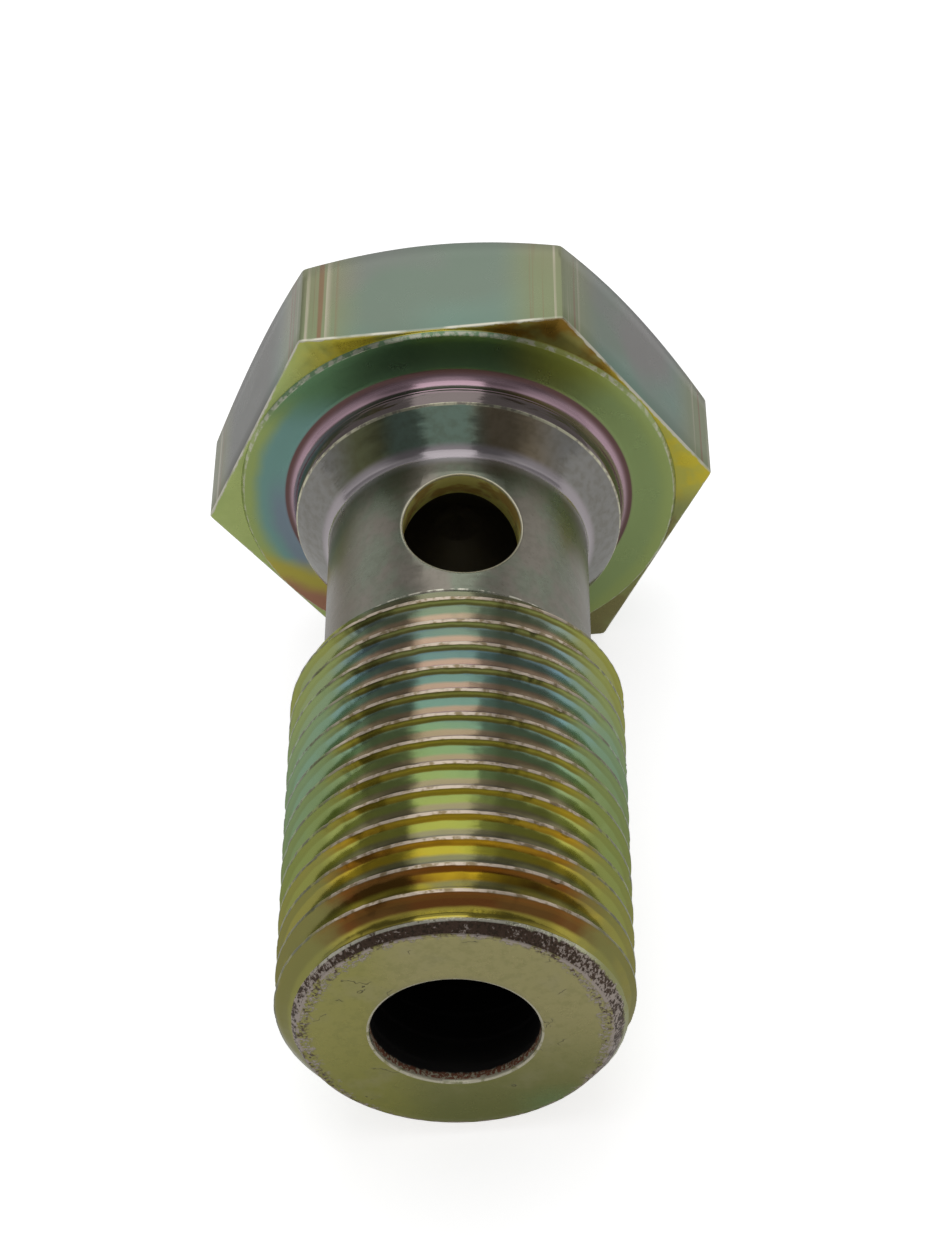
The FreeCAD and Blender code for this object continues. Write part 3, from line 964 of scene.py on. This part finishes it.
def zincRelief(zinc, smoothTurned):
    # heights in millimetres; the collar is a little conical, and the flats are drawn near their corners
    times, more = zinc.times, zinc.more
    inputs = {"Around": zinc.around, "Radius": zinc.radius, "Fineness": 3.0, "Breaking": 7.0}
    marks = zinc.placed(turnedMarksGroup(), inputs)[0]
    relief = times(marks, more(0.0004, smoothTurned, 0.0036))
    relief = zinc.plus(relief, zinc.spread(zinc.height, 0.75, 1.85, 0.0, -0.30, smooth=False))
    relief = more(relief, times(marks, zinc.band(zinc.height, 0.85, 1.78, 0.05)), 0.02)
    relief = more(relief, zinc.fine, 0.0016)
    relief = more(relief, zinc.grain, 0.0003)
    streaks = times(times(zinc.spread(zinc.height, -0.2, -0.3), zinc.nearCorner), zinc.drawn)
    relief = more(relief, streaks, 0.02)
    relief = more(relief, times(zinc.larger(zinc.onChamfer, zinc.pitted), zinc.grain), 0.04)
    return zinc.less(relief, zinc.cracks, 0.02)


def zincNormal(zinc, relief):
    back = zinc.times(zinc.over(zinc.y, zinc.radius), -1.0)
    sideways = zinc.joined(back, zinc.over(zinc.x, zinc.radius))
    laidDown = layDown.to_3x3().normalized().to_euler("XYZ")
    sideways = zinc.mapped(sideways, {"Rotation": laidDown}, "VECTOR")
    amount = zinc.times(zinc.band(zinc.height, 0.1, 32.5, 0.1), 0.15)
    inputs = {"Around": zinc.around, "Sideways": sideways, "Amount": amount}
    rings = zinc.placed(ringLeanGroup(), inputs)[0]
    bump = zinc.node("ShaderNodeBump", {"Strength": 1.0, "Distance": 0.001, "Height": relief, "Normal": rings})
    return bump.outputs[0]


def zincMaterial():
    material = bpy.data.materials.new("zincPlatedSteel")
    zinc = ZincBuilder(emptyTree(material))
    neck = neckTints(zinc)
    colour = washerTints(zinc, headTints(zinc))
    colour = turnTints(zinc, collarTints(zinc, colour, neck), neck)
    colour = holeTints(zinc, endTints(zinc, colour))
    colour = zinc.layered(colour, (zinc.spread(zinc.grain, 0.74, 0.80, 0.0, 0.4), "grime"))
    smoothTurned = zinc.band(zinc.height, 0.15, 3.7, 0.15)
    openEdges = zinc.times(zinc.larger(zinc.onMouth, zinc.onRim), 0.5)
    metallic = zinc.minus(1.0, zinc.larger(zinc.times(zinc.inHole, 0.5), openEdges))
    normal = zincNormal(zinc, zincRelief(zinc, smoothTurned))
    roughness = zincRoughness(zinc, smoothTurned)
    surface = zinc.node("ShaderNodeBsdfPrincipled", {
        "Base Color": colour, "Metallic": metallic, "Roughness": roughness, "Normal": normal})
    zinc.node("ShaderNodeOutputMaterial", {0: surface.outputs[0]})
    print("zinc: nodes", len(material.node_tree.nodes))
    return material


stageValues = {
    "floorGlow": 0.72, "floorShine": 0.24, "floorHalf": 1.5,
    # how bright the room is behind, in front of and beside the bolt
    "roomBehind": 0.42, "roomInFront": 0.14, "roomBeside": 0.26, "lowBehind": 0.45, "farAside": 0.30,
    # panels of light: width, length, place of the middle, turn about X and brightness
    "overhead": (0.36, 1.15, (0.0, 0.325, 0.5), 0.0, 0.80),
    "overFront": (0.36, 0.60, (0.0, -0.55, 0.5), 0.0, 0.30),
    "frontWall": (0.65, 0.32, (0.0, -0.90, 0.17), 90.0, 0.34),
    "cameraPlace": (0.0137437, -0.1081170, 0.1061571),
    "cameraRight": (0.99264397, 0.01412022, -0.1202438),
    "cameraUp": (0.0816907, 0.65490444, 0.75128343),
    "lens": 87.275,
}
white = (1.0, 1.0, 1.0, 1.0)


def floorMaterial():
    material = bpy.data.materials.new("paleFloor")
    build = TreeBuilder(emptyTree(material))
    paper = build.node("ShaderNodeBsdfPrincipled", {"Base Color": (0.8, 0.8, 0.8, 1.0), "Roughness": 0.9})
    glow = build.node("ShaderNodeEmission", {"Color": white, "Strength": stageValues["floorGlow"]})
    added = build.node("ShaderNodeAddShader", {0: paper.outputs[0], 1: glow.outputs[0]})
    rays = build.node("ShaderNodeLightPath")
    shine = build.node("ShaderNodeEmission", {"Color": white, "Strength": stageValues["floorShine"]})
    shown = build.node("ShaderNodeAddShader", {0: paper.outputs[0], 1: shine.outputs[0]})
    reflected = build.either(rays.outputs["Is Glossy Ray"], paper, shown)
    mixed = build.either(rays.outputs["Is Camera Ray"], reflected, added)
    build.node("ShaderNodeOutputMaterial", {0: mixed.outputs[0]})
    return material


def buildStage():
    half = stageValues["floorHalf"]
    mesh = bpy.data.meshes.new("floor")
    corners = [(-half, -half, 0), (half, -half, 0), (half, half, 0), (-half, half, 0)]
    mesh.from_pydata(corners, [], [(0, 1, 2, 3)])
    ground = bpy.data.objects.new("floor", mesh)
    scene.collection.objects.link(ground)
    mesh.materials.append(floorMaterial())

    world = bpy.data.worlds.new("studio")
    scene.world = world
    build = TreeBuilder(emptyTree(world))
    direction = build.parted(build.node("ShaderNodeTexCoord").outputs["Generated"])
    beside = build.spread(direction[1], -0.30, -0.05, stageValues["roomInFront"], stageValues["roomBeside"])
    behind = build.spread(direction[1], 0.12, 0.55, 0.0, stageValues["roomBehind"] - stageValues["roomBeside"])
    low = build.spread(direction[2], 0.60, 0.40, 0.0, stageValues["lowBehind"])
    lowBehind = build.times(build.spread(direction[1], 0.45, 0.75), low)
    aside = build.spread(build.absolute(direction[0]), 0.55, 0.85, 0.0, stageValues["farAside"])
    farAside = build.times(aside, build.spread(direction[1], 0.16, 0.0))
    level = build.plus(build.plus(build.plus(beside, behind), lowBehind), farAside)
    room = build.node("ShaderNodeBackground", {"Color": white, "Strength": level})
    backdrop = build.node("ShaderNodeBackground", {"Color": white, "Strength": 1.0})
    rays = build.node("ShaderNodeLightPath")
    mixed = build.either(rays.outputs["Is Camera Ray"], room, backdrop)
    build.node("ShaderNodeOutputWorld", {0: mixed.outputs[0]})

    for name in ("overhead", "overFront", "frontWall"):
        width, length, middle, turned, brightness = stageValues[name]
        panel = bpy.data.lights.new(name, "AREA")
        panel.shape = "RECTANGLE"
        panel.size = width
        panel.size_y = length
        panel.energy = brightness * pi * width * length
        lamp = bpy.data.objects.new(name, panel)
        lamp.location = middle
        lamp.rotation_euler = (radians(turned), 0.0, 0.0)
        scene.collection.objects.link(lamp)

    camera = bpy.data.cameras.new("camera")
    camera.sensor_fit = "VERTICAL"
    camera.sensor_height = 36.0
    camera.lens = stageValues["lens"]
    camera.clip_start = 0.01
    right = Vector(stageValues["cameraRight"]).normalized()
    up = Vector(stageValues["cameraUp"]).normalized()
    holder = bpy.data.objects.new("camera", camera)
    turn = Matrix((right, up, right.cross(up))).transposed().to_4x4()
    holder.matrix_world = Matrix.Translation(stageValues["cameraPlace"]) @ turn
    scene.collection.objects.link(holder)
    scene.camera = holder
    print("stage: floor, world, three light panels and camera")


buildStage()
bolt = boltPiece(zincMaterial())
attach(bolt, "root")
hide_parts("banjo_bolt")
